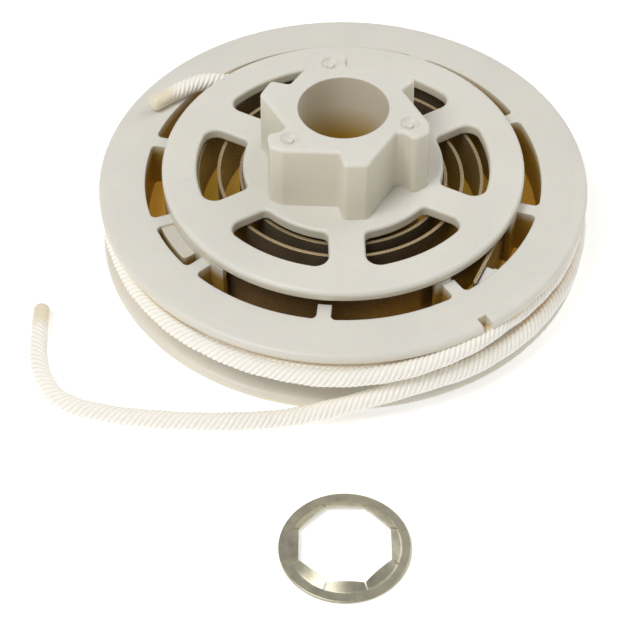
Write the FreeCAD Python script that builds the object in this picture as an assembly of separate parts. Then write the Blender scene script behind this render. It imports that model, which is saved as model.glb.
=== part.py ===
"""Rope pulley assembly of a small engine's recoil starter, with its loose retaining ring.

Millimetres. The pulley's axis is +Z and its origin is where the axis meets the plane of the
lower flange, which is the side that faces the engine. The pulley turns on a 20 mm post of the
starter housing. The star boss on the keeper is locked in the housing, so pulling the rope
turns the pulley clockwise, seen from above, and winds the flat spring between the two.
"""
import FreeCAD
import Part
import math
import os
from FreeCAD import Vector

UP = Vector(0, 0, 1)

# Pulley moulding
PULLEY_R = 55.0
PULLEY_H = 17.6
RIM_THICK = 2.8
RIM_ROUND = 1.38
DRUM_R = 47.0
DRUM_INNER_R = 44.6
GROOVE_ROOT = (4.5, 13.1)
WEB_LOW = 4.6
FLOOR_Z = 6.0
BOSS_R = 12.0
BOSS_TOP = 18.1
POST_R = 10.0
WALL_INNER_R = 39.2
WALL_OUTER_R = 40.4
WALL_TOP = 18.5
WALL_OPENINGS = ((229.5, 298.5), (304.0, 335.0))
BRIDGE_ANGLES = (25, 65, 165, 200, 222, 263.8, 303, 344)
BRIDGE_THICK = 3.0
STOP_ANGLES = (200, 216.5)
STOP_OUTER_R = 43.3
STOP_TOP = 17.0
NOTCH_ANGLE = 303.0
NOTCH_WIDTH = 2.2
NOTCH_INNER_R = 52.3

# Keeper moulding: disk, star boss and spring arbor
DISK_R = 40.6
DISK_LOW = 18.95
DISK_TOP = 21.5
WINDOW_INNER_R = 22.5
WINDOW_OUTER_R = 32.8
WINDOW_FIRST = 1.0
WINDOW_ROUND = 0.8
SPOKE_WIDTH = 8.0
KEEPER_TOP = 37.5
STAR_DRAFT = 0.25
STAR_TOP_ROUND = 0.9
ARBOR_INNER_R = BOSS_R + 0.3
ARBOR_R = 16.4
ARBOR_LOW = 7.4
DIMPLE_R = 15.2
DIMPLE_FIRST = 100.0
DIMPLE_BALL_R = 2.5
DIMPLE_DEPTH = 1.2

# Rewind spring
SPRING_THICK = 0.8
SPRING_Z = (6.2, 18.2)
SPRING_FIRST = -20.0
# The coil's radius at each quarter turn, anticlockwise and inwards
COIL_RADII = (
    38.6, 38.6, 38.4, 37.4, 36.2, 34.8, 33.1, 31.9, 31.4, 29.9, 28.4,
    26.4, 27.0, 24.9, 23.2, 22.7, 23.3, 20.9, 19.2, 18.6, 17.6,
)
TAIL_LENGTH = 8.5
# The lug that the spring's folded end goes round
LUG_AT = (44.5, 309.8)
LUG_TIP_R = 0.25
LUG_TOP = 17.3
FOLD_R = 0.75
FOLD_LEG = 4.0
FOLD_TOP = 16.0

# Rope
ROPE_R = 2.0
LEG = ROPE_R + 0.05

# Pawls and their guide, under the web
PIVOT_R = 24.0
PIN_R = 1.6
PIN_LOW = 2.5
PAWL_Z = (2.6, 4.4)
PAWL_TRAVEL = 20.0
PAWL_REST = -4.2
STUD_REACH = 9.0
STUD_R = 1.1
GUIDE_Z = (1.6, 2.4)
GUIDE_R = 30.6
SCREW_PCR = 18.0
SHOULDER_R = 1.8

# Retaining ring, lying in front of the pulley
RING_AT = Vector(-0.8, -90.5, 0)
RING_R = 13.4
RING_CREASE_R = 11.3
RING_FLAT_R = 9.3
RING_THICK = 0.7
RING_RISE = 1.3


def polar(radius, degrees, z=0.0):
    """The point at that radius and angle about the pulley's axis."""
    a = math.radians(degrees)
    return Vector(radius * math.cos(a), radius * math.sin(a), z)


def turned(shape, degrees, centre=Vector()):
    """A copy of the shape, turned about the vertical through the centre."""
    copy = shape.copy()
    copy.rotate(centre, UP, degrees)
    return copy


def outline(corners):
    """A closed wire through (point, corner radius) pairs, each corner rounded by an arc."""
    edges = []
    count = len(corners)
    ends = []
    for i, (point, radius) in enumerate(corners):
        back = (corners[i - 1][0] - point).normalize()
        ahead = (corners[(i + 1) % count][0] - point).normalize()
        half = back.getAngle(ahead) / 2
        if radius <= 0 or half > math.pi / 2 - 1e-4:
            ends.append((point, None, point))
            continue
        trim = radius / math.tan(half)
        inward = (back + ahead).normalize()
        middle = point + inward * (radius / math.sin(half) - radius)
        ends.append((point + back * trim, middle, point + ahead * trim))
    for i, (start, middle, end) in enumerate(ends):
        if middle is not None:
            edges.append(Part.Arc(start, middle, end).toShape())
        following = ends[(i + 1) % count][0]
        if end.distanceToPoint(following) > 1e-6:
            edges.append(Part.LineSegment(end, following).toShape())
    return Part.Wire(edges)


def plate(corners, low, high):
    """A rounded outline, given as (x, y, corner radius), extruded between two heights."""
    wire = outline([(Vector(x, y, low), r) for x, y, r in corners])
    return Part.Face(wire).extrude(UP * (high - low))


def turning(corners):
    """A solid of revolution about Z of a section given as (radius, z, corner radius)."""
    wire = outline([(Vector(x, 0, z), r) for x, z, r in corners])
    return Part.Face(wire).revolve(Vector(), UP, 360)


def ring(inner, outer, low, high):
    """A plain ring about the axis."""
    solid = Part.makeCylinder(outer, high - low, Vector(0, 0, low))
    return solid.cut(Part.makeCylinder(inner, high - low + 2, Vector(0, 0, low - 1)))


def ring_part(inner, outer, low, high, first, last):
    """The stretch of a ring between two angles, counted anticlockwise."""
    section = Part.makePolygon([
        Vector(inner, 0, low),
        Vector(outer, 0, low),
        Vector(outer, 0, high),
        Vector(inner, 0, high),
        Vector(inner, 0, low),
    ])
    return turned(Part.Face(section).revolve(Vector(), UP, last - first), first)


def slab(inner, outer, width, low, high, degrees):
    """A radial block of that width, centred on an angle."""
    block = Part.makeBox(outer - inner, width, high - low, Vector(inner, -width / 2, low))
    return turned(block, degrees)


def rounded(solid, radius, chosen):
    """The solid with the edges that the test picks rounded."""
    return solid.makeFillet(radius, [e for e in solid.Edges if chosen(e)])


def route(points, name=None):
    """Straight runs joined by tangent arcs, each as large as its two runs allow."""
    edges = []
    radii = []
    start = points[0]
    for before, corner, after in zip(points, points[1:], points[2:]):
        back = (before - corner).normalize()
        ahead = (after - corner).normalize()
        half_turn = (math.pi - back.getAngle(ahead)) / 2
        shorter = min(before.distanceToPoint(corner), after.distanceToPoint(corner))
        trim = 0.45 * shorter
        radius = trim / math.tan(half_turn)
        radii.append(radius)
        inward = (back + ahead).normalize()
        middle = corner + inward * (radius / math.cos(half_turn) - radius)
        arc_start = corner + back * trim
        arc_end = corner + ahead * trim
        edges.append(Part.LineSegment(start, arc_start).toShape())
        edges.append(Part.Arc(arc_start, middle, arc_end).toShape())
        start = arc_end
    edges.append(Part.LineSegment(start, points[-1]).toShape())
    if name:
        print(name, "arc radii", [round(r, 1) for r in radii])
    return Part.Wire(edges)


def tube(points, radius, name):
    """A round tube along a route, checked against its section times its length."""
    spine = route(points, name)
    circle = Part.Circle(points[0], points[1] - points[0], radius)
    solid = spine.makePipeShell([Part.Wire(circle.toShape())], True, False)
    expected = math.pi * radius**2 * spine.Length
    print(name, "length", round(spine.Length, 1), "volume ratio", round(solid.Volume / expected, 4))
    return solid


def rope_pulley():
    """Flanged drum with a web, a bearing boss and the wall that holds the spring."""
    low, high = GROOVE_ROOT
    rim_in = PULLEY_R - RIM_ROUND
    body = turning([
        (DRUM_INNER_R, 0, 0.4),
        (PULLEY_R, 0, RIM_ROUND),
        (PULLEY_R, RIM_THICK, RIM_ROUND),
        (DRUM_R, low, 0.8),
        (DRUM_R, high, 0.8),
        (PULLEY_R, PULLEY_H - RIM_THICK, RIM_ROUND),
        (PULLEY_R, PULLEY_H - 0.35, 1.2),
        (rim_in - 1.6, PULLEY_H, 3.0),
        (DRUM_INNER_R, PULLEY_H, 0.5),
        (DRUM_INNER_R, FLOOR_Z, 0.8),
        (BOSS_R, FLOOR_Z, 0.8),
        (BOSS_R, BOSS_TOP, 0.5),
        (POST_R, BOSS_TOP, 0),
        (POST_R, 0, 0),
        (BOSS_R, 0, 0.4),
        (BOSS_R, WEB_LOW, 0.6),
        (DRUM_INNER_R, WEB_LOW, 0.6),
    ])
    first, second = WALL_OPENINGS
    adds = [
        ring_part(WALL_INNER_R, WALL_OUTER_R, FLOOR_Z - 0.5, WALL_TOP, second[1], first[0] + 360),
        ring_part(WALL_INNER_R, WALL_OUTER_R, FLOOR_Z - 0.5, WALL_TOP, first[1], second[0]),
    ]
    bridges = ring(WALL_OUTER_R - 0.1, DRUM_INNER_R + 1, FLOOR_Z - 0.5, PULLEY_H).cut(pockets())
    stop = ring_part(WALL_OUTER_R - 0.5, STOP_OUTER_R, FLOOR_Z - 0.5, STOP_TOP, *STOP_ANGLES)
    adds.append(rounded(stop, 1.0, lambda e: is_upright(e) and far_out(e, STOP_OUTER_R - 0.5)))
    adds += bridges.Solids + drum_ribs() + screw_pillars()
    body = body.fuse(adds).removeSplitter()
    body = body.cut(fold_recess()).fuse([spring_lug()]).removeSplitter()
    cuts = [rim_notch(), tube(ANCHOR_ROUTE, ROPE_R + 0.15, "rope hole")]
    for angle in (0, 180):
        cuts.append(Part.makeCylinder(1.25, 3.6, polar(SCREW_PCR, angle, 2.0)))
        cuts.append(Part.makeCylinder(PIN_R, 6, polar(PIVOT_R, angle + 90, 1)))
        cuts.append(Part.makeCylinder(3.0, 2, polar(PIVOT_R, angle + 90, 5.2)))
    return body.cut(cuts)


def is_upright(edge):
    """True for a straight vertical edge."""
    if len(edge.Vertexes) < 2:
        return False
    a, b = (v.Point for v in edge.Vertexes)
    return abs(a.x - b.x) < 1e-6 and abs(a.y - b.y) < 1e-6 and abs(a.z - b.z) > 1e-3


def far_out(edge, radius):
    """True if the edge lies wholly outside a radius about the axis."""
    return all(math.hypot(v.X, v.Y) > radius for v in edge.Vertexes)


def drum_ribs():
    """Short ribs inside the lower drum wall."""
    return [slab(40.0, DRUM_INNER_R + 1, 1.6, 0.6, WEB_LOW + 0.5, 15 + 30 * i) for i in range(12)]


def screw_pillars():
    """Stubs under the web that the two shoulder screws are driven into."""
    return [Part.makeCylinder(3.0, WEB_LOW + 0.5 - 2.6, polar(SCREW_PCR, a, 2.6)) for a in (0, 180)]


def pockets():
    """Cutters for the open slots between the spring's wall and the drum wall."""
    cutters = []
    for first, last in zip(BRIDGE_ANGLES, BRIDGE_ANGLES[1:] + (BRIDGE_ANGLES[0] + 360,)):
        low, high = FLOOR_Z - 1, PULLEY_H + 1
        sector = ring_part(WALL_OUTER_R - 0.5, DRUM_INNER_R, low, high, first, last)
        bridges = [slab(0, 50, BRIDGE_THICK, low - 1, high + 1, angle) for angle in (first, last)]
        pocket = sector.cut(bridges)
        cutters.append(rounded(pocket, 1.2, lambda e: is_upright(e) and far_out(e, DRUM_INNER_R - 1)))
    return cutters


def lug_tip():
    """The middle of the spring's outer fold."""
    return polar(*LUG_AT)


def fold_angles():
    """Directions from the fold: along the spring's tail, and along its short return leg."""
    away = tail_bend() - lug_tip()
    lean = math.degrees(math.asin(FOLD_R / away.Length))
    return math.degrees(math.atan2(away.y, away.x)) - lean, LUG_AT[1] - 270


def spring_lug():
    """Wedge that the spring's folded end goes round, joined to the drum wall behind the fold."""
    tail, leg = fold_angles()
    point = lug_tip() - polar(LUG_TIP_R / math.sin(math.radians((tail - leg) / 2)), (tail + leg) / 2)
    left = point + polar(FOLD_LEG + 2.6, tail)
    right = point + polar(FOLD_LEG + 3.2, leg)
    corners = [(point.x, point.y, LUG_TIP_R), (right.x, right.y, 0), (left.x, left.y, 0.3)]
    wedge = plate(corners, FLOOR_Z - 0.5, LUG_TOP)
    first, last = LUG_AT[1] + 5.9, LUG_AT[1] + 7.9
    root = ring_part(43.8, DRUM_INNER_R + 1.5, FLOOR_Z - 0.5, LUG_TOP, first, last)
    roof = ring_part(44.2, DRUM_INNER_R + 1.5, FOLD_TOP + 0.15, LUG_TOP, LUG_AT[1] + 0.3, last)
    return wedge.fuse([root, roof]).removeSplitter()


def fold_recess():
    """Cutter for the recess in the drum wall, under the flange, for the fold's return leg."""
    high = FOLD_TOP + 0.15
    return ring_part(DRUM_INNER_R - 1, 46.0, FLOOR_Z, high, LUG_AT[1] - 1.8, LUG_AT[1] + 5.7)


def rim_notch():
    """A narrow notch in the upper rim, where the rope can be held while the spring is wound."""
    return slab(NOTCH_INNER_R, PULLEY_R + 2, NOTCH_WIDTH, PULLEY_H - 5, PULLEY_H + 1, NOTCH_ANGLE)


def star_corners(scale, z):
    """The star boss's outline: one unit of nine corners, repeated three times."""
    unit = [
        (-13.3, -13.7, 1.2),
        (-1.2, -14.3, 0.8),
        (-0.2, -18.5, 1.2),
        (5.0, -18.3, 1.2),
        (6.0, -16.4, 1.5),
        (11.2, -8.0, 1.0),
        (13.0, -8.2, 1.0),
        (15.2, -10.4, 1.4),
        (18.6, -7.8, 1.8),
    ]
    corners = []
    for turn in (0, 120, 240):
        for x, y, radius in unit:
            point = turned_point(x * scale, y * scale, turn)
            corners.append((Vector(point.x, point.y, z), radius))
    return corners


def turned_point(x, y, degrees):
    """A point turned about the axis."""
    return polar(math.hypot(x, y), math.degrees(math.atan2(y, x)) + degrees)


def keeper_window(centre):
    """Cutter for one window: a ring sector between two spokes with parallel sides."""
    sector = ring_part(WINDOW_INNER_R, WINDOW_OUTER_R, DISK_LOW - 1, DISK_TOP + 1, centre - 30, centre + 30)
    spokes = [slab(0, 50, SPOKE_WIDTH, DISK_LOW - 2, DISK_TOP + 2, centre + side) for side in (-30, 30)]
    window = sector.cut(spokes)
    window = rounded(window, 3.0, lambda e: is_upright(e) and far_out(e, WINDOW_OUTER_R - 1))
    return rounded(window, 1.7, lambda e: is_upright(e) and not far_out(e, WINDOW_INNER_R + 0.5))


def is_window_rim(edge):
    """True for an edge round a window in the disk's upper face."""
    inside = all(math.hypot(v.X, v.Y) < WINDOW_OUTER_R + 0.5 for v in edge.Vertexes)
    level = all(abs(v.Z - DISK_TOP) < 1e-4 for v in edge.Vertexes)
    return inside and level and len(edge.Vertexes) > 1


def keeper_hub():
    """Disk over the spring, with the star boss above it and the spring's arbor below."""
    disk = turning([
        (POST_R, DISK_LOW, 0),
        (DISK_R, DISK_LOW, 0.4),
        (DISK_R, DISK_TOP, 1.1),
        (POST_R, DISK_TOP, 0),
    ])
    disk = disk.cut([keeper_window(WINDOW_FIRST + 60 * i) for i in range(6)])
    disk = rounded(disk, WINDOW_ROUND, is_window_rim)
    growth = 1 + STAR_DRAFT / 18
    sections = [
        outline(star_corners(growth, DISK_TOP - 0.6)),
        outline(star_corners(1.0, KEEPER_TOP)),
    ]
    star = Part.makeLoft(sections, True, True)
    star = rounded(star, STAR_TOP_ROUND, lambda e: all(v.Z > KEEPER_TOP - 0.01 for v in e.Vertexes))
    arbor = ring(ARBOR_INNER_R, ARBOR_R, ARBOR_LOW, DISK_LOW + 0.5)
    slit = slab(ARBOR_INNER_R + 1.6, ARBOR_R + 2, 1.2, ARBOR_LOW - 1, DISK_LOW, inner_hook_angle())
    body = disk.fuse([star]).removeSplitter()
    body = body.cut(Part.makeCylinder(POST_R, 60, Vector(0, 0, -1)))
    body = body.fuse([arbor.cut(slit)])
    pins = []
    for i in range(3):
        at = polar(DIMPLE_R, DIMPLE_FIRST + 120 * i, KEEPER_TOP)
        body = body.cut(Part.makeSphere(DIMPLE_BALL_R, at + UP * (DIMPLE_BALL_R - DIMPLE_DEPTH)))
        pins.append(Part.makeCylinder(0.8, 1.0, at - UP * 1.5))
    return body.fuse(pins).removeSplitter()


def tail_bend():
    """Where the spring's straight tail leaves the coil's tangent."""
    return polar(COIL_RADII[0], SPRING_FIRST) + polar(TAIL_LENGTH, SPRING_FIRST - 90)


def spring_tail():
    """Centreline of the spring's outer end: return leg, fold and tail, up to the coil."""
    tip = lug_tip()
    tail, leg = fold_angles()
    fold = [tip + polar(FOLD_R, angle) for angle in (leg - 90, (leg + tail) / 2 - 180, tail - 270)]
    edges = [
        Part.LineSegment(fold[0] + polar(FOLD_LEG, leg), fold[0]).toShape(),
        Part.Arc(*fold).toShape(),
        Part.LineSegment(fold[2], tail_bend()).toShape(),
        Part.LineSegment(tail_bend(), polar(COIL_RADII[0], SPRING_FIRST)).toShape(),
    ]
    return Part.Wire(edges)


def coil_radius(degrees):
    """The coil's radius after that many degrees, eased between its quarter turns."""
    i = min(int(degrees // 90), len(COIL_RADII) - 2)
    share = degrees / 90 - i
    last = len(COIL_RADII) - 1
    a, b, c, d = (COIL_RADII[max(0, min(last, i + step))] for step in (-1, 0, 1, 2))
    bend = 2 * a - 5 * b + 4 * c - d
    return b + 0.5 * share * (c - a + share * (bend + share * (3 * (b - c) + d - a)))


def coil_side(offset):
    """One side of the strip's coil, seen from above, at that distance from its middle."""
    points = []
    for degrees in range(0, 90 * (len(COIL_RADII) - 1) + 1, 30):
        points.append(polar(coil_radius(degrees) + offset, SPRING_FIRST + degrees))
    curve = Part.BSplineCurve()
    curve.interpolate(points)
    return curve


def inner_hook_angle():
    """The angle at which the spring's inner end enters the arbor."""
    return SPRING_FIRST + 90 * (len(COIL_RADII) - 1)


def rewind_spring():
    """Flat strip, on edge, wound in a loose spiral with a hook at each end."""
    low, high = SPRING_Z
    half = SPRING_THICK / 2
    outer, inner = coil_side(half), coil_side(-half)
    ends = [(outer.EndPoint, inner.EndPoint), (inner.StartPoint, outer.StartPoint)]
    edges = [outer.toShape(), inner.toShape()] + [Part.LineSegment(*pair).toShape() for pair in ends]
    coil = Part.Face(Part.Wire(Part.__sortEdges__(edges)))
    tail = Part.Face(spring_tail().makeOffset2D(half, 0, False, False, False))
    strips = [face.extrude(UP * (high - low)) for face in (coil, tail)]
    for strip in strips:
        strip.translate(UP * low)
    strips[1] = strips[1].cut(ring(DRUM_INNER_R - 0.15, PULLEY_R, FOLD_TOP, high + 1))
    hook_r = COIL_RADII[-1] + half
    hook = slab(ARBOR_INNER_R + 2.2, hook_r, SPRING_THICK, low, high, inner_hook_angle())
    return strips[0].fuse([strips[1], hook]).removeSplitter()


def thrust_washer():
    """Thin washer between the pulley's boss and the keeper."""
    return ring(POST_R + 0.4, BOSS_R + 0.2, BOSS_TOP + 0.05, DISK_LOW - 0.05)


ANCHOR_ROUTE = [
    Vector(-44.2, 21.4, PULLEY_H + LEG),
    Vector(-38.5, 26.4, PULLEY_H + LEG),
    Vector(-32.0, 30.6, PULLEY_H + LEG - 0.4),
    Vector(-26.0, 33.7, 15.8),
    Vector(-20.5, 38.2, 11.2),
    Vector(-12.5, 46.4, 9.6),
]

EXIT_ROUTE = [
    Vector(28.0, -44.6, 8.0),
    Vector(20.0, -51.6, 7.9),
    Vector(9.4, -55.9, 7.4),
]
FREE_ROUTE = [
    EXIT_ROUTE[-1],
    Vector(-1.2, -57.6, 4.9),
    Vector(-11.5, -58.3, LEG),
    Vector(-24.5, -59.3, LEG),
    Vector(-38.5, -58.7, LEG),
    Vector(-51.0, -56.9, LEG),
    Vector(-61.0, -53.6, LEG),
    Vector(-66.0, -45.5, LEG),
    Vector(-67.3, -35.5, LEG),
    Vector(-67.1, -25.6, LEG),
]


def rope_winding():
    """Outer shape of the turns on the drum, with the last turn leading off it."""
    low, high = GROOVE_ROOT
    turns = turning([
        (DRUM_R + 0.1, low + 0.3, 0.4),
        (54.4, 3.3, 1.9),
        (54.4, 14.3, 1.9),
        (DRUM_R + 0.1, high - 0.3, 0.4),
    ])
    return turns.fuse([tube(EXIT_ROUTE, ROPE_R, "rope lead")])


def rope_free_run(winding):
    """The rope's free end, lying on the surface that the part stands on."""
    return tube(FREE_ROUTE, ROPE_R, "rope free run").cut(winding)


def rope_anchor_run(winding):
    """The rope's inner end: over the upper flange, down a slot and out through the drum wall."""
    return tube(ANCHOR_ROUTE, ROPE_R, "rope anchor run").cut(winding)


def pawl(angle):
    """Flat pawl on a pivot, with a stud below it that runs in the guide's cam slot."""
    low, high = PAWL_Z
    body = plate([
        (-4.2, -3.9, 3.7),
        (4.0, -3.9, 3.0),
        (17.0, -2.6, 1.0),
        (19.2, 0.5, 0.5),
        (17.6, 3.5, 0.6),
        (4.0, 3.9, 3.0),
        (-4.2, 3.9, 3.7),
    ], low, high)
    seat = ring(0, 3.6, high - 0.95, high + 1)
    hole = Part.makeCylinder(PIN_R + 0.05, 6)
    stud = Part.makeCylinder(STUD_R, low - 1.3 + 0.2, Vector(STUD_REACH, 0, 1.3))
    body = body.cut([seat, hole, spring_wire(0.3)]).fuse([stud])
    body.rotate(Vector(), UP, PAWL_REST)
    body.translate(Vector(0, PIVOT_R, 0))
    return turned(body, angle)


def pawl_pin(angle):
    """Pivot pin: a flush head in the spring chamber's floor and an end level with the pawl."""
    stem = Part.makeCylinder(PIN_R, 5.4 - PIN_LOW, Vector(0, 0, PIN_LOW))
    head = Part.makeCylinder(3.0, 0.75, Vector(0, 0, 5.2))
    pin = stem.fuse([head]).removeSplitter()
    pin.translate(Vector(0, PIVOT_R, 0))
    return turned(pin, angle)


def spring_wire(radius):
    """The pawl spring's wire, about the pawl's pivot, at that wire radius."""
    reach = 2.55
    rise = 0.13
    z = PAWL_Z[1] - 0.72
    points = [Vector(9.5, -reach - 0.2, z), Vector(4.5, -reach, z), Vector(-reach, -reach, z)]
    corners = [(-reach, reach), (reach, reach), (reach, -reach), (-reach, -reach), (-reach, 6.5)]
    for i, (x, y) in enumerate(corners):
        points.append(Vector(x, y, z + rise * (i + 1)))
    return tube(points, radius, "pawl spring")


def pawl_spring(angle):
    """Wire spring round a pawl's pivot: one leg on the pawl's stop, one on a peg of the web."""
    wire = spring_wire(0.2)
    wire.rotate(Vector(), UP, PAWL_REST)
    wire.translate(Vector(0, PIVOT_R, 0))
    return turned(wire, angle)


def pawl_guide():
    """Stamped plate that turns on the boss and moves the pawls by their studs."""
    low, high = GUIDE_Z
    body = ring(BOSS_R + 0.25, GUIDE_R, low, high)
    body = body.fuse([ring(BOSS_R + 0.25, BOSS_R + 1.4, 0.1, high)]).removeSplitter()
    cuts = []
    for angle in (0, 180):
        cuts.append(turned(screw_slot(), angle))
        cuts.append(turned(cam_slot(), angle))
        for side in (-42, -58):
            cuts.append(Part.makeCylinder(2.6, 6, polar(23.0, angle + side)))
    return body.cut(cuts)


def slot_along(points, half_width):
    """Cutter for a slot of that half width, along an arc through three points."""
    line = Part.Wire(Part.Arc(*points).toShape())
    face = Part.Face(line.makeOffset2D(half_width, 0, False, False, False))
    return face.extrude(UP * 6)


def screw_slot():
    """Arc slot for a shoulder screw, long enough for the plate's travel."""
    turns = (0.5, -PAWL_TRAVEL / 2, -PAWL_TRAVEL - 0.5)
    return slot_along([polar(SCREW_PCR, a) for a in turns], SHOULDER_R + 0.25)


def cam_slot():
    """Slot that carries a pawl's stud outwards as the plate turns back by the same angle."""
    points = []
    for turn in (-0.5, PAWL_TRAVEL / 2, PAWL_TRAVEL + 0.5):
        stud = Vector(0, PIVOT_R, 0) + polar(STUD_REACH, PAWL_REST + turn)
        points.append(turned_point(stud.x, stud.y, -turn))
    return slot_along(points, STUD_R + 0.25)


def guide_screw(angle):
    """Shoulder screw with a low cross-recessed head."""
    head = turning([(0, 0.35, 0), (3.2, 0.35, 0.5), (3.2, 1.5, 0.1), (0, 1.5, 0)])
    shoulder = Part.makeCylinder(SHOULDER_R, 2.6 - 1.4, Vector(0, 0, 1.4))
    shank = Part.makeCylinder(1.25, 5.3 - 2.5, Vector(0, 0, 2.5))
    screw = head.fuse([shoulder, shank]).removeSplitter()
    for turn in (0, 90):
        screw = screw.cut(slab(-1.7, 1.7, 0.55, 0, 0.9, turn))
    screw.translate(Vector(SCREW_PCR, 0, 0))
    return turned(screw, angle)


def retaining_ring():
    """Push-on ring: a flat rim and eight tongues that rise towards an octagonal hole."""
    slope = RING_RISE / (RING_CREASE_R - RING_FLAT_R)
    inner = RING_FLAT_R - 0.4
    rise = slope * (RING_CREASE_R - inner)
    body = turning([
        (RING_R, 0, 0.15),
        (RING_R, RING_THICK, 0.3),
        (RING_CREASE_R, RING_THICK, 0.8),
        (inner, RING_THICK + rise, 0),
        (inner, rise, 0),
        (RING_CREASE_R, 0, 0.8),
    ])
    corner_r = RING_FLAT_R / math.cos(math.pi / 8)
    hole = Part.makePolygon([polar(corner_r, 22.5 + 45 * i, -1) for i in range(9)])
    cuts = [Part.Face(hole).extrude(UP * 6)]
    cuts += [slab(9.0, RING_CREASE_R + 0.1, 0.35, -1, 5, 22.5 + 45 * i) for i in range(8)]
    body = body.cut(cuts)
    body.translate(RING_AT)
    return body


def build():
    """Every node's solid, by name."""
    winding = rope_winding()
    nodes = {
        "rope_pulley": rope_pulley(),
        "keeper_hub": keeper_hub(),
        "rewind_spring": rewind_spring(),
        "thrust_washer": thrust_washer(),
        "rope_winding": winding,
        "rope_anchor_run": rope_anchor_run(winding),
        "rope_free_run": rope_free_run(winding),
        "pawl_guide": pawl_guide(),
        "retaining_ring": retaining_ring(),
    }
    for number, angle in ((1, 0), (2, 180)):
        nodes[f"pawl_{number}"] = pawl(angle)
        nodes[f"pawl_pin_{number}"] = pawl_pin(angle)
        nodes[f"pawl_spring_{number}"] = pawl_spring(angle)
        nodes[f"guide_screw_{number}"] = guide_screw(angle)
    return nodes


os.makedirs("parts", exist_ok=True)
for node, shape in build().items():
    solids = shape.Solids
    print(node, "solids", len(solids), "valid", shape.isValid(), "volume", round(shape.Volume, 1))
    if len(solids) == 1:
        shape = solids[0]
    shape.exportStep(f"parts/{node}.step")
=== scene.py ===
"""Looks of the recoil starter's rope pulley: nylon mouldings, spring, twisted rope and ring."""

import math

import bpy
import numpy as np
from mathutils import Matrix, Vector


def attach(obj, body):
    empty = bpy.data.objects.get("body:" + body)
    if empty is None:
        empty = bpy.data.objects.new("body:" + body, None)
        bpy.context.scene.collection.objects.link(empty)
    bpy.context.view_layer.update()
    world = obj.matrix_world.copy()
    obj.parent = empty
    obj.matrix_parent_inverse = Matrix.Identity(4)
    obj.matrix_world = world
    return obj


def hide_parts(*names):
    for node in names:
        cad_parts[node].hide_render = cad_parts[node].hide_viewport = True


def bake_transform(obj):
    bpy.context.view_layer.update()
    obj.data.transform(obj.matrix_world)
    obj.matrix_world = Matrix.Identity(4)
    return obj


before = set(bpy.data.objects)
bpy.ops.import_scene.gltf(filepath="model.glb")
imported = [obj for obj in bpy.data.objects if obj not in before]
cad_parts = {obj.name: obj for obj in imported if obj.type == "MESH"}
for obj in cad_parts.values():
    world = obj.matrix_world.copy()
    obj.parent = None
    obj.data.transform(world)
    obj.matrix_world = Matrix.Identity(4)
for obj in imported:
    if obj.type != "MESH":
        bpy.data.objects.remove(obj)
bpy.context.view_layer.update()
MM = 0.001

# Camera: a 111 mm lens on a 36 mm sensor, looking down at 47 degrees
CAMERA_AT = Vector((-6.5, -320.1, 319.4)) * MM
CAMERA_DOWN = math.radians(47.45)
CAMERA_ROLL = math.radians(-0.38)
CAMERA_LENS = 111.26

# Rope: six strands, in mm; LEG is the height of its axis over what it lies on
ROPE_R = 2.0
ROPE_LAY = 7.6
ROPE_STRANDS = 6
ROPE_SIDES = 42
ROPE_STEP = 0.45
ROPE_GROOVE = 0.20
TIP_LENGTH = 6.5
LEG = ROPE_R + 0.05
FLANGE_TOP = 17.6

ANCHOR_ROUTE = [
    (-44.2, 21.4, FLANGE_TOP + LEG),
    (-38.5, 26.4, FLANGE_TOP + LEG),
    (-32.0, 30.6, FLANGE_TOP + LEG - 0.4),
    (-26.0, 33.7, 15.8),
    (-20.5, 38.2, 11.2),
    (-12.5, 46.4, 9.6),
]
FREE_ROUTE = [
    (9.4, -55.9, 7.4),
    (-1.2, -57.6, 4.9),
    (-11.5, -58.3, LEG),
    (-24.5, -59.3, LEG),
    (-38.5, -58.7, LEG),
    (-51.0, -56.9, LEG),
    (-61.0, -53.6, LEG),
    (-66.0, -45.5, LEG),
    (-67.3, -35.5, LEG),
    (-67.1, -25.6, LEG),
]
# The turns on the drum, clockwise from the drum's hole: (turns, radius, height)
WINDING_START = 96.0
WINDING = [
    (0.00, 49.2, 8.9),
    (0.20, 49.2, 6.8),
    (0.95, 49.2, 6.8),
    (1.15, 49.3, 10.9),
    (1.95, 49.3, 10.9),
    (2.15, 52.2, 9.0),
    (2.42, 52.8, 12.4),
    (2.55, 52.6, 12.8),
    (2.64, 51.6, 12.6),
    (2.75, 51.6, 12.6),
    (2.90, 52.6, 12.6),
    (3.15, 52.4, 12.2),
    (3.20, 51.2, 12.4),
    (3.38, 51.4, 12.5),
    (3.425, 54.6, 13.9),
    (3.48, 55.6, 12.7),
    (3.52, 56.0, 12.0),
    (3.61, 55.3, 12.2),
    (3.65, 54.6, 12.0),
    (3.70, 53.2, 11.6),
    (3.78, 52.4, 11.0),
    (4.10, 52.6, 7.9),
    (4.31, 53.6, 7.3),
    (4.40, 55.2, 7.7),
    (4.47, 56.3, 7.5),
]
WINDING_STEP = 10.0

# Nylon's colours: its own, painted shade on its steep sides, its flecks, and painted amber shade and
# through-light where light comes through, with painted glows
WHITE = (0.775, 0.757, 0.697)
KEEPER_LIGHTER = 1.02
SIDE_SHADE = (0.68, 0.61, 0.42)
FLECK = (0.52, 0.47, 0.36)
AMBER_SHADE = (0.36, 0.225, 0.045)
AMBER_PAINTED_LIGHT = (0.80, 0.48, 0.08)
AMBER_DEEP_SHADE = (0.36, 0.22, 0.0)
BLACK = (0.0, 0.0, 0.0)
CHAMBER_GLOW = (0.012, 0.006, 0.0005)
GROOVE_GLOW = (0.10, 0.05, 0.004)
BORE_GLOW = (0.035, 0.018, 0.0)
FLOOR_GLOW = (0.12, 0.07, 0.008)
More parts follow.
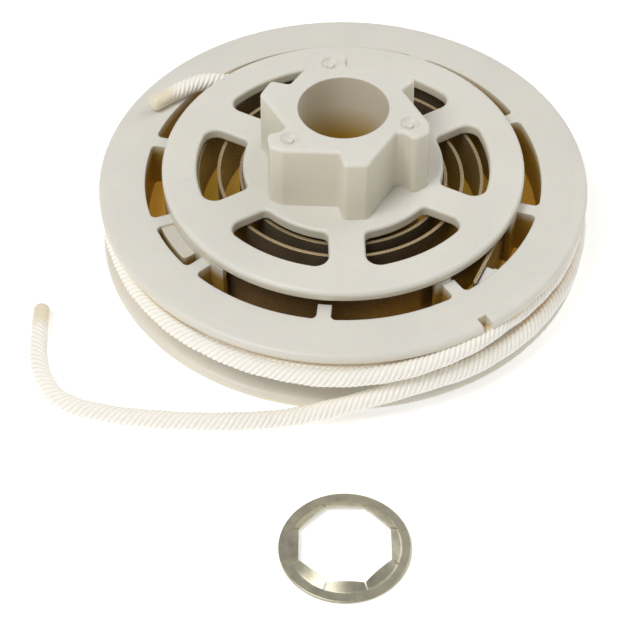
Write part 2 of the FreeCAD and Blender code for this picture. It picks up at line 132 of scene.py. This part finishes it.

# Where the painted amber shade, through-light and glows lie, in mm from the axis (ACROSS) or above the bench:
# each pair is start, full
CHAMBER_ACROSS = (44.9, 44.6)
CHAMBER_LOW = (5.2, 5.6)
PULLEY_DEPTH = (17.3, 15.0)
KEEPER_DEPTH = (19.0, 15.0)
FLOOR_TOP = (6.6, 6.2)
GROOVE_ACROSS_OUT = (54.0, 51.5)
GROOVE_ACROSS_IN = (44.7, 45.0)
GROOVE_TOP = (15.2, 14.2)
GROOVE_LOW = (8.0, 10.0)
BORE_ACROSS = (10.5, 10.3)
BORE_TOP = (29.0, 20.0)
BORE_LOW = (0.5, 3.0)

# Rope's colours, and painted amber shade in its crevices: between the outer turns, and under the flange
YARN_LIGHT = (0.99, 0.98, 0.95)
YARN_SHADE = (0.92, 0.895, 0.82)
YARN_GROOVE_SHADE = (0.62, 0.47, 0.24)
MELTED_LIGHT = (0.88, 0.81, 0.64)
MELTED_DARK = (0.74, 0.64, 0.44)
CREVICE_SHADE = (0.60, 0.36, 0.07)
CREVICE_SHADE_ACROSS = (55.0, 53.5)
CREVICE_SHADE_BANDS = [
    ((8.8, 9.4), (10.9, 10.5)),
    ((13.4, 14.0), (16.2, 15.8)),
]

# Steels: colour, and the painted highlight on the level edges of the spring's strip
SPRING_STEEL = (0.25, 0.20, 0.13)
SPRING_EDGE_HIGHLIGHT = (0.50, 0.385, 0.23)
RING_STEEL = (0.58, 0.545, 0.42)
PAWL_STEEL = (0.33, 0.33, 0.32)
PLATED_STEEL = (0.62, 0.62, 0.60)

# Surroundings
BENCH_HALF = 3.0
BENCH_GLOW = 0.38
SKY_LIGHT = 0.35
LAMP_WHITE = (1.0, 0.99, 0.97)


# ---------------------------------------------------------------- node helpers

def material(name):
    """A new node material, with its node tree and its shader."""
    made = bpy.data.materials.new(name)
    made.use_nodes = True
    tree = made.node_tree
    return made, tree, tree.nodes["Principled BSDF"]


def node(tree, kind, inputs=(), **settings):
    """A node with its settings made and its inputs linked or set, by name or number."""
    made = tree.nodes.new(kind)
    for key, value in settings.items():
        setattr(made, key, value)
    for key, value in dict(inputs).items():
        if isinstance(value, bpy.types.NodeSocket):
            tree.links.new(value, made.inputs[key])
        else:
            made.inputs[key].default_value = value
    return made


def maths(tree, operation, *values):
    """A Math node's result."""
    return node(tree, "ShaderNodeMath", enumerate(values), operation=operation).outputs[0]


def noise(tree, where, scale, detail=4.0, roughness=0.5):
    """Noise from 0 to 1 over a coordinate."""
    inputs = {"Vector": where, "Scale": scale, "Detail": detail, "Roughness": roughness}
    return node(tree, "ShaderNodeTexNoise", inputs).outputs["Fac"]


def between(tree, value, low, high, to_low=0.0, to_high=1.0):
    """A value mapped from one range to another, and held there."""
    inputs = {"Value": value, 1: low, 2: high, 3: to_low, 4: to_high}
    return node(tree, "ShaderNodeMapRange", inputs, clamp=True).outputs[0]


def faded(tree, distance, start, full):
    """0 at the start and 1 at the full distance, both in mm."""
    return between(tree, distance, start * MM, full * MM)


def product(tree, *values):
    """The values multiplied together."""
    result = values[0]
    for value in values[1:]:
        result = maths(tree, "MULTIPLY", result, value)
    return result


def parts(tree, vector):
    """A vector's three components."""
    return node(tree, "ShaderNodeSeparateXYZ", {0: vector}).outputs


def upward(tree):
    """The surface normal's upward component."""
    return parts(tree, node(tree, "ShaderNodeTexCoord").outputs["Normal"])[2]


def mixed(tree, share, first, second):
    """Two colours mixed."""
    made = node(tree, "ShaderNodeMix", {0: share}, data_type="RGBA")
    for socket, value in ((made.inputs[6], first), (made.inputs[7], second)):
        if isinstance(value, bpy.types.NodeSocket):
            tree.links.new(value, socket)
        else:
            socket.default_value = (*value, 1.0)
    return made.outputs[2]


def place(tree):
    """The surface point in the row frame, in metres."""
    return node(tree, "ShaderNodeTexCoord").outputs["Object"]


def from_axis(tree, axes):
    """The distance from the pulley's axis, in metres."""
    squares = [maths(tree, "POWER", axes[i], 2.0) for i in (0, 1)]
    return maths(tree, "POWER", maths(tree, "ADD", *squares), 0.5)


def bump(tree, height, distance, strength=1.0, normal=None):
    """A bump from a height in 0 to 1."""
    inputs = {"Height": height, "Distance": distance, "Strength": strength}
    if normal is not None:
        inputs["Normal"] = normal
    return node(tree, "ShaderNodeBump", inputs).outputs["Normal"]


def edge_round(tree, radius):
    """A normal that rounds sharp edges by that radius."""
    return node(tree, "ShaderNodeBevel", {"Radius": radius}, samples=6).outputs["Normal"]


# ---------------------------------------------------------------- materials

def nylon(name, colour, amber_shade_depth):
    """Natural nylon: satin, faintly mottled, waxy, with painted shade on its steep sides, and painted amber
    shade, through-light and glow in its hollows where light has to pass through it.
    """
    made, tree, shader = material(name)
    where = place(tree)
    cloud = noise(tree, where, 60.0, 5.0)
    tone = mixed(tree, between(tree, cloud, 0.3, 0.7), colour, tuple(c * 0.94 for c in colour))
    flecks = noise(tree, where, 900.0, 2.0)
    tone = mixed(tree, between(tree, flecks, 0.66, 0.8, 0.0, 0.25), tone, FLECK)
    axes = parts(tree, where)
    across, height = from_axis(tree, axes), axes[2]
    level = maths(tree, "ABSOLUTE", upward(tree))
    # painted shade: steep sides are made darker and yellower than level faces
    tone = mixed(tree, between(tree, level, 0.5, 0.2, 0.0, 0.42), tone, SIDE_SHADE)
    chamber = product(tree, faded(tree, across, *CHAMBER_ACROSS), faded(tree, height, *amber_shade_depth),
                      faded(tree, height, *CHAMBER_LOW))
    floor = product(tree, chamber, faded(tree, height, *FLOOR_TOP))
    groove = product(tree, faded(tree, across, *GROOVE_ACROSS_OUT), faded(tree, across, *GROOVE_ACROSS_IN),
                     faded(tree, height, *GROOVE_TOP), faded(tree, height, *GROOVE_LOW))
    bore = product(tree, faded(tree, across, *BORE_ACROSS), faded(tree, height, *BORE_TOP),
                   faded(tree, height, *BORE_LOW))
    # painted amber shade in the spring chamber, rope groove and bore, and painted through-light on the
    # chamber floor
    for mask, tint in ((chamber, AMBER_SHADE), (floor, AMBER_PAINTED_LIGHT), (groove, AMBER_SHADE), (bore, AMBER_DEEP_SHADE)):
        tone = mixed(tree, mask, tone, tint)
    tree.links.new(tone, shader.inputs["Base Color"])
    # painted glow: the chamber, groove, bore and chamber floor emit amber light
    glow = mixed(tree, chamber, BLACK, CHAMBER_GLOW)
    for mask, tint in ((groove, GROOVE_GLOW), (bore, BORE_GLOW), (floor, FLOOR_GLOW)):
        glow = mixed(tree, mask, glow, tint)
    tree.links.new(glow, shader.inputs["Emission Color"])
    shader.inputs["Emission Strength"].default_value = 1.0
    grain = noise(tree, where, 1800.0, 3.0)
    rough = between(tree, cloud, 0.3, 0.7, 0.36, 0.46)
    tree.links.new(rough, shader.inputs["Roughness"])
    shader.inputs["Subsurface Weight"].default_value = 0.25
    shader.inputs["Subsurface Radius"].default_value = (1.0, 0.75, 0.4)
    shader.inputs["Subsurface Scale"].default_value = 0.002
    shader.inputs["IOR"].default_value = 1.5
    normal = bump(tree, grain, 0.00003, 0.35, edge_round(tree, 0.0004))
    tree.links.new(normal, shader.inputs["Normal"])
    return made


def steel(name, colour, rough, level_highlight=None, stain=0.3, scale=120.0, metallic=0.9, soften=0.00015):
    """Bare or plated steel with stains, fine scratches and, if asked, a painted highlight on level faces."""
    made, tree, shader = material(name)
    where = place(tree)
    cloud = noise(tree, where, scale, 6.0, 0.6)
    dark = tuple(c * (1 - stain) for c in colour)
    tone = mixed(tree, between(tree, cloud, 0.35, 0.65), colour, dark)
    if level_highlight:
        # painted highlight: level faces, such as the spring strip's top edges, are made lighter and more
        # golden
        tone = mixed(tree, between(tree, upward(tree), 0.6, 0.9), tone, level_highlight)
    tree.links.new(tone, shader.inputs["Base Color"])
    shader.inputs["Metallic"].default_value = metallic
    stretched = node(tree, "ShaderNodeMapping", {"Vector": where, "Scale": (1.0, 1.0, 9.0)}).outputs[0]
    scratches = noise(tree, stretched, 2400.0, 3.0, 0.7)
    wear = between(tree, scratches, 0.3, 0.7, rough - 0.08, rough + 0.1)
    tree.links.new(wear, shader.inputs["Roughness"])
    normal = bump(tree, scratches, 0.00002, 0.4, edge_round(tree, soften))
    tree.links.new(normal, shader.inputs["Normal"])
    return made


def rope_fibre():
    """White nylon yarns, with cream where the ends are melted, painted shade in the grooves between strands
    and in the crevices between turns, and a faint painted glow.
    """
    made, tree, shader = material("rope_fibre")
    melted = node(tree, "ShaderNodeAttribute", attribute_name="melted").outputs["Fac"]
    groove = node(tree, "ShaderNodeAttribute", attribute_name="groove").outputs["Fac"]
    laid = node(tree, "ShaderNodeUVMap", uv_map="yarns").outputs[0]
    yarns = parts(tree, laid)
    long_grain = node(tree, "ShaderNodeCombineXYZ", {
        0: product(tree, yarns[0], 1.2), 1: product(tree, yarns[1], 16.0)}).outputs[0]
    fibres = noise(tree, long_grain, 1.6, 3.0, 0.6)
    tone = mixed(tree, between(tree, fibres, 0.3, 0.7), YARN_LIGHT, YARN_SHADE)
    # painted shade: the grooves between strands are made darker and browner
    tone = mixed(tree, between(tree, groove, 0.35, 1.0, 0.0, 0.8), tone, YARN_GROOVE_SHADE)
    axes = parts(tree, place(tree))
    near = faded(tree, from_axis(tree, axes), *CREVICE_SHADE_ACROSS)
    # painted amber shade in the crevices between the turns and under the flange, by radius and height
    for low, high in CREVICE_SHADE_BANDS:
        band = product(tree, near, faded(tree, axes[2], *low), faded(tree, axes[2], *high))
        tone = mixed(tree, band, tone, CREVICE_SHADE)
    tone = mixed(tree, melted, tone, mixed(tree, fibres, MELTED_LIGHT, MELTED_DARK))
    tree.links.new(tone, shader.inputs["Base Color"])
    tree.links.new(between(tree, melted, 0.0, 1.0, 0.55, 0.28), shader.inputs["Roughness"])
    shader.inputs["Sheen Weight"].default_value = 0.15
    # painted glow: the rope emits a faint cream light
    shader.inputs["Emission Color"].default_value = (1.0, 0.97, 0.88, 1.0)
    shader.inputs["Emission Strength"].default_value = 0.06
    tree.links.new(bump(tree, fibres, 0.00018, 0.6), shader.inputs["Normal"])
    return made


# ---------------------------------------------------------------- rope

def winding_points():
    """Control points of the turns on the drum, by angle."""
    turns, radii, heights = zip(*WINDING)
    count = int(turns[-1] * 360 / WINDING_STEP)
    points = []
    for i in range(count + 1):
        turn = i * WINDING_STEP / 360
        radius = np.interp(turn, turns, radii) / math.cos(math.radians(WINDING_STEP) / 2)
        angle = math.radians(WINDING_START - turn * 360)
        height = np.interp(turn, turns, heights)
        points.append((radius * math.cos(angle), radius * math.sin(angle), height))
    return points


def smooth_line(points, name):
    """Points along the NURBS curve that the route controls, in metres."""
    curve = bpy.data.curves.new(name, "CURVE")
    curve.dimensions = "3D"
    spline = curve.splines.new("NURBS")
    spline.points.add(len(points) - 1)
    for at, point in zip(spline.points, points):
        at.co = (*(Vector(point) * MM), 1.0)
    spline.order_u = 3
    spline.use_endpoint_u = True
    spline.resolution_u = 12
    holder = bpy.data.objects.new(name, curve)
    bpy.context.scene.collection.objects.link(holder)
    mesh = bpy.data.meshes.new_from_object(holder)
    line = np.array([v.co for v in mesh.vertices], float)
    bpy.data.objects.remove(holder)
    return line


def even(line, step):
    """The line resampled at an even spacing."""
    lengths = np.concatenate([[0], np.cumsum(np.linalg.norm(np.diff(line, axis=0), axis=1))])
    count = int(round(lengths[-1] / step))
    wanted = np.linspace(0, lengths[-1], count + 1)
    return np.column_stack([np.interp(wanted, lengths, line[:, i]) for i in range(3)]), wanted


def carried_frames(line):
    """Two directions across the line at each point, carried along it without twist."""
    ahead = np.gradient(line, axis=0)
    ahead /= np.linalg.norm(ahead, axis=1)[:, None]
    side = np.cross(ahead[0], (0, 0, 1))
    sides = []
    for direction in ahead:
        side = side - direction * (side @ direction)
        side /= np.linalg.norm(side)
        sides.append(side)
    sides = np.array(sides)
    return ahead, sides, np.cross(ahead, sides)


def twisted_rope(name, line):
    """A closed mesh of laid strands along the line, smooth and rounded at its melted ends."""
    step = ROPE_STEP * MM
    line, along = even(line, step)
    ahead, across, over = carried_frames(line)
    total = along[-1]
    from_end = np.minimum(along, total - along)
    melted = 1 - np.clip((from_end / MM - TIP_LENGTH * 0.7) / (TIP_LENGTH * 0.5), 0, 1)
    around = np.arange(ROPE_SIDES) / ROPE_SIDES
    lobes = np.abs(np.cos(math.pi * ROPE_STRANDS * around)) ** 0.62
    wander = 0.02 * np.sin(along / MM * 0.9) + 0.02 * np.sin(along / MM * 0.37 + 1.0)
    rounding = np.sqrt(1 - np.clip(1 - from_end / (1.2 * MM), 0, 1) ** 2 * 0.75)
    size = ROPE_R * MM * (1 - 0.08 * melted + wander * (1 - melted)) * rounding
    depth = ROPE_GROOVE * (1 - 0.85 * melted)
    radius = size[:, None] * (1 - depth[:, None] * (1 - lobes[None, :]))
    turned = 2 * math.pi * (around[None, :] - along[:, None] / (ROPE_LAY * MM))
    spots = (line[:, None, :]
             + (radius * np.cos(turned))[:, :, None] * across[:, None, :]
             + (radius * np.sin(turned))[:, :, None] * over[:, None, :])
    rings, sides = len(line), ROPE_SIDES
    faces = []
    for i in range(rings - 1):
        row, following = i * sides, (i + 1) * sides
        for j in range(sides):
            k = (j + 1) % sides
            faces.append((row + j, row + k, following + k, following + j))
    faces.append(tuple(reversed(range(sides))))
    faces.append(tuple(range((rings - 1) * sides, rings * sides)))
    mesh = bpy.data.meshes.new(name)
    mesh.from_pydata(spots.reshape(-1, 3).tolist(), [], faces)
    mesh.polygons.foreach_set("use_smooth", [True] * len(mesh.polygons))
    for label, values in (("melted", np.repeat(melted, sides)), ("groove", np.tile(1 - lobes, rings))):
        mesh.attributes.new(label, "FLOAT", "POINT").data.foreach_set("value", values.astype(np.float32))
    yarns = mesh.uv_layers.new(name="yarns")
    flat = np.zeros((len(mesh.loops), 2), np.float32)
    quads = (rings - 1) * sides
    rows = np.repeat(np.arange(rings - 1), sides)
    columns = np.tile(np.arange(sides), rings - 1)
    for corner, (down, right) in enumerate(((0, 0), (0, 1), (1, 1), (1, 0))):
        distance = along[rows + down] / MM
        flat[corner:quads * 4:4, 0] = distance
        flat[corner:quads * 4:4, 1] = (columns + right) / sides - distance / ROPE_LAY * 0.8
    yarns.data.foreach_set("uv", flat.ravel())
    mesh.update()
    rope = bpy.data.objects.new(name, mesh)
    bpy.context.scene.collection.objects.link(rope)
    return rope, line


def make_pawl_spring(number, look):
    """A copy of a pawl spring with the given look, in place of the CAD node."""
    spring_node = f"pawl_spring_{number}"
    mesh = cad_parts[spring_node].data.copy()
    mesh.materials.clear()
    mesh.materials.append(look)
    spring = bpy.data.objects.new(f"pawl_return_spring_{number}", mesh)
    bpy.context.scene.collection.objects.link(spring)
    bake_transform(spring)
    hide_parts(spring_node)


# ---------------------------------------------------------------- camera, floor, light

def make_camera():
    """The camera, at the eye point and aim named above."""
    data = bpy.data.cameras.new("camera")
    data.lens = CAMERA_LENS
    data.sensor_width = 36.0
    data.clip_start = 0.01
    camera = bpy.data.objects.new("camera", data)
    bpy.context.scene.collection.objects.link(camera)
    tilt = Matrix.Rotation(math.pi / 2 - CAMERA_DOWN, 4, "X")
    roll = Matrix.Rotation(CAMERA_ROLL, 4, "Z")
    camera.matrix_world = Matrix.Translation(CAMERA_AT) @ tilt @ roll
    bpy.context.scene.camera = camera


def area_light(name, at, size, watts, colour, aim=(0, 0, 0.01)):
    """A square soft light that faces a point."""
    data = bpy.data.lights.new(name, "AREA")
    data.size = size
    data.energy = watts
    data.color = colour
    lamp = bpy.data.objects.new(name, data)
    lamp.location = at
    lamp.rotation_euler = (Vector(aim) - Vector(at)).to_track_quat("-Z", "Y").to_euler()
    bpy.context.scene.collection.objects.link(lamp)


def make_surroundings():
    """White bench, white sky and two soft lights."""
    mesh = bpy.data.meshes.new("bench")
    half = BENCH_HALF
    corners = [(-half, -half, 0), (half, -half, 0), (half, half, 0), (-half, half, 0)]
    mesh.from_pydata(corners, [], [(0, 1, 2, 3)])
    bench = bpy.data.objects.new("bench", mesh)
    bpy.context.scene.collection.objects.link(bench)
    made, _, shader = material("bench_white")
    shader.inputs["Base Color"].default_value = (0.95, 0.95, 0.95, 1)
    shader.inputs["Roughness"].default_value = 0.6
    shader.inputs["Emission Color"].default_value = (1, 1, 1, 1)
    shader.inputs["Emission Strength"].default_value = BENCH_GLOW
    mesh.materials.append(made)
    world = bpy.data.worlds.new("sky")
    world.use_nodes = True
    sky = world.node_tree.nodes["Background"].inputs
    sky[0].default_value = (*LAMP_WHITE, 1)
    sky[1].default_value = SKY_LIGHT
    bpy.context.scene.world = world
    area_light("key", (-0.34, -0.28, 0.74), 0.35, 3.7, LAMP_WHITE)
    area_light("fill", (0.5, 0.35, 0.6), 0.6, 1.9, LAMP_WHITE)
    bpy.context.scene.view_settings.view_transform = "Standard"


def make_rope():
    """The whole rope in one piece: its anchored end, its turns and its free end."""
    route = ANCHOR_ROUTE + winding_points() + FREE_ROUTE
    rope, line = twisted_rope("starter_rope", smooth_line(route, "rope_route"))
    rope.data.materials.append(rope_fibre())
    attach(rope, "pulley")
    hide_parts("rope_winding", "rope_anchor_run", "rope_free_run")


def give_looks():
    """Each CAD node's material, and copies of the pawl springs."""
    looks = {
        "rope_pulley": nylon("pulley_nylon", WHITE, PULLEY_DEPTH),
        "keeper_hub": nylon("keeper_nylon", tuple(c * KEEPER_LIGHTER for c in WHITE), KEEPER_DEPTH),
        "rewind_spring": steel("spring_steel", SPRING_STEEL, 0.26, SPRING_EDGE_HIGHLIGHT, metallic=0.5, soften=0.00025),
        "retaining_ring": steel("ring_steel", RING_STEEL, 0.36, None, 0.25, 400.0),
        "pawl_1": steel("pawl_steel", PAWL_STEEL, 0.4),
        "pawl_guide": steel("plated_steel", PLATED_STEEL, 0.34, None, 0.15),
    }
    looks["pawl_2"] = looks["pawl_1"]
    make_pawl_spring(1, looks["rewind_spring"])
    make_pawl_spring(2, looks["rewind_spring"])
    for name in ("thrust_washer", "pawl_pin_1", "pawl_pin_2", "guide_screw_1", "guide_screw_2"):
        looks[name] = looks["pawl_guide"]
    for name, look in looks.items():
        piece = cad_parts[name]
        piece.data.materials.clear()
        piece.data.materials.append(look)


def main():
    """Everything in order: camera, rope, materials, surroundings."""
    make_camera()
    make_rope()
    give_looks()
    make_surroundings()


main()
